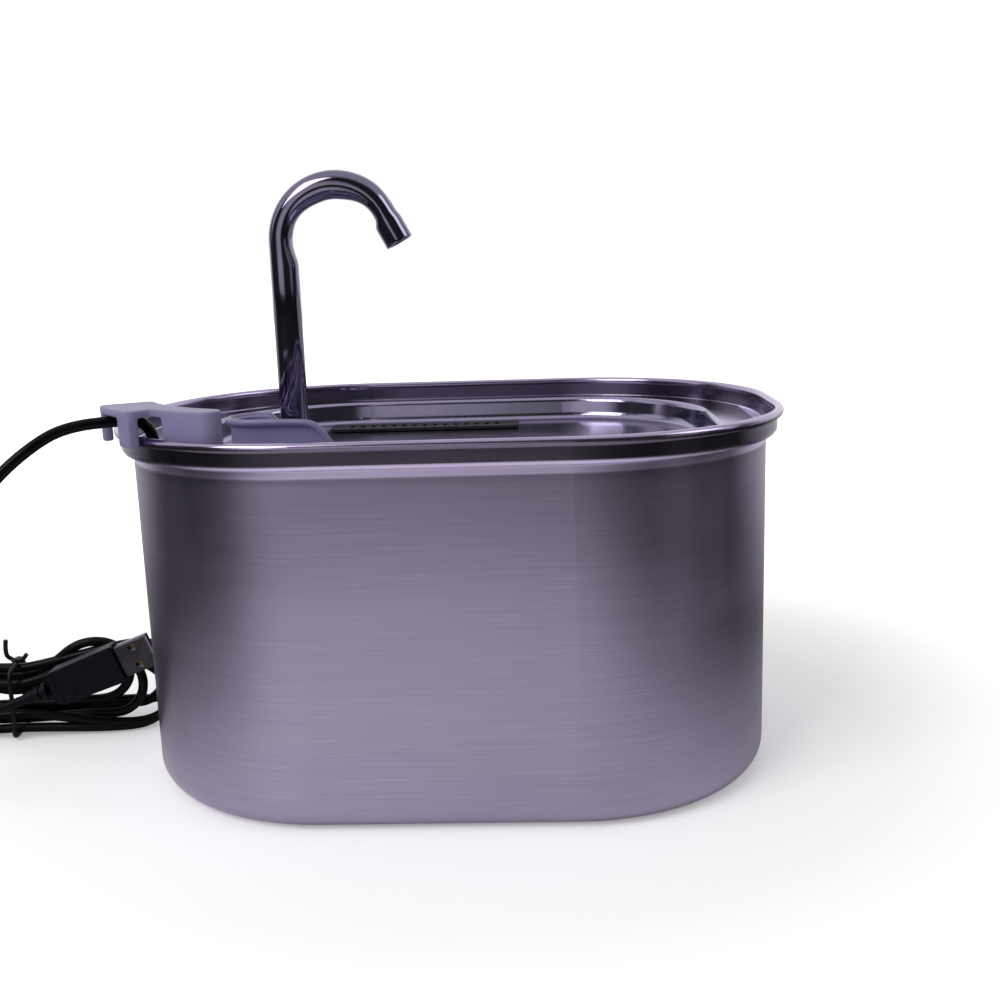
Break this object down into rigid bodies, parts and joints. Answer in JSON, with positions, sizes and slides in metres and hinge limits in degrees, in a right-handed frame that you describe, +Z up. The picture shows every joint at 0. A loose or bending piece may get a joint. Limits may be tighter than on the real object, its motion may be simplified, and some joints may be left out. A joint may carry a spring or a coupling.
{
  "type": "pet water fountain",
  "caption": "Oval steel water bowl with a lift-out drinking tray, a swivelling hook faucet, a submerged pump, a filter and a USB cord.",
  "frame": {"origin": "middle of the tank's underside, on the surface it stands on", "axes": "+Z up, +X along the tank's length with the filter and the open side of the tray to the right, the front at -Y"},
  "size_m": [0.335, 0.16, 0.1986],
  "materials": {
    "brushed_steel": "stainless steel with a level brushed grain",
    "polished_steel": "polished stainless sheet",
    "chrome": "bright mirror chrome",
    "grey_plastic": "satin grey-lilac plastic",
    "black_silicone": "soft black silicone",
    "clear_silicone": "milky silicone tube",
    "black_plastic": "matte black plastic",
    "black_rubber": "soft black rubber",
    "core_steel": "laminated electrical steel",
    "copper_wire": "enamelled copper wire",
    "potting_resin": "cast black resin",
    "board_green": "green circuit board",
    "shaft_steel": "ground steel",
    "white_plastic": "white plastic",
    "magnet_black": "sintered ferrite",
    "foam_black": "open-cell foam",
    "dark_plastic": "satin dark grey plastic",
    "carbon_black": "activated carbon granules in a pad",
    "cord_black": "glossy black cord sheath",
    "tie_black": "plastic-covered tie wire",
    "plug_black": "satin black moulding",
    "shell_steel": "nickel-plated steel",
    "contact_gold": "gold-plated contacts"
  },
  "bodies": {
    "tank_body": {"tank": "brushed_steel", "riser_hose": "clear_silicone", "pump_housing": "black_plastic", "cord_gland": "black_rubber", "stator_core": "core_steel", "stator_coils": "copper_wire", "pump_potting": "potting_resin", "driver_board": "board_green", "pump_rear_cover": "black_plastic", "pump_front": "black_plastic", "impeller_shaft": "shaft_steel", "shaft_bushes": "black_rubber", "suction_cups": "black_rubber", "pump_lead": "cord_black", "free_cord": "cord_black", "cord_hank": "cord_black", "hank_tie": "tie_black", "cord_tail": "cord_black", "usb_overmold": "plug_black", "usb_relief": "plug_black", "usb_shell": "shell_steel", "usb_tongue": "white_plastic", "usb_contacts": "contact_gold"},
    "tray": {"drinking_tray": "polished_steel", "faucet_collar": "grey_plastic", "faucet_grommet": "black_silicone"},
    "faucet": {"faucet_tube": "chrome"},
    "clip": {"cable_clip": "grey_plastic"},
    "filter": {"filter_case": "dark_plastic", "filter_carbon": "carbon_black", "filter_foam": "foam_black"},
    "filter_cover": {"filter_lid": "dark_plastic"},
    "rotor": {"impeller": "white_plastic", "rotor_magnet": "magnet_black"},
    "slider": {"flow_slider": "black_plastic"},
    "strainer": {"strainer_cap": "black_plastic", "strainer_foam": "foam_black"}
  },
  "joints": [
    {"name": "tray_lift", "type": "slide", "parent": "tank_body", "child": "tray", "axis": [0, 0, 1], "range_m": [0, 0.09]},
    {"name": "faucet_swivel", "type": "hinge", "parent": "tray", "child": "faucet", "pos_m": [-0.0542, 0, 0.11], "axis": [0, 0, 1], "range_deg": [-180, 180]},
    {"name": "clip_lift", "type": "slide", "parent": "tray", "child": "clip", "axis": [0, 0, 1], "range_m": [0, 0.03]},
    {"name": "filter_lift", "type": "slide", "parent": "tray", "child": "filter", "axis": [0, 0, 1], "range_m": [0, 0.04]},
    {"name": "filter_lid_lift", "type": "slide", "parent": "filter", "child": "filter_cover", "axis": [0, 0, 1], "range_m": [0, 0.02]},
    {"name": "impeller_spin", "type": "hinge", "parent": "tank_body", "child": "rotor", "pos_m": [-0.048, 0, 0.024], "axis": [1, 0, 0], "continuous": true},
    {"name": "flow_slider_slide", "type": "slide", "parent": "tank_body", "child": "slider", "axis": [0, 0, 1], "range_m": [0, 0.005]},
    {"name": "strainer_pull", "type": "slide", "parent": "tank_body", "child": "strainer", "axis": [-1, 0, 0], "range_m": [0, 0.018]}
  ]
}
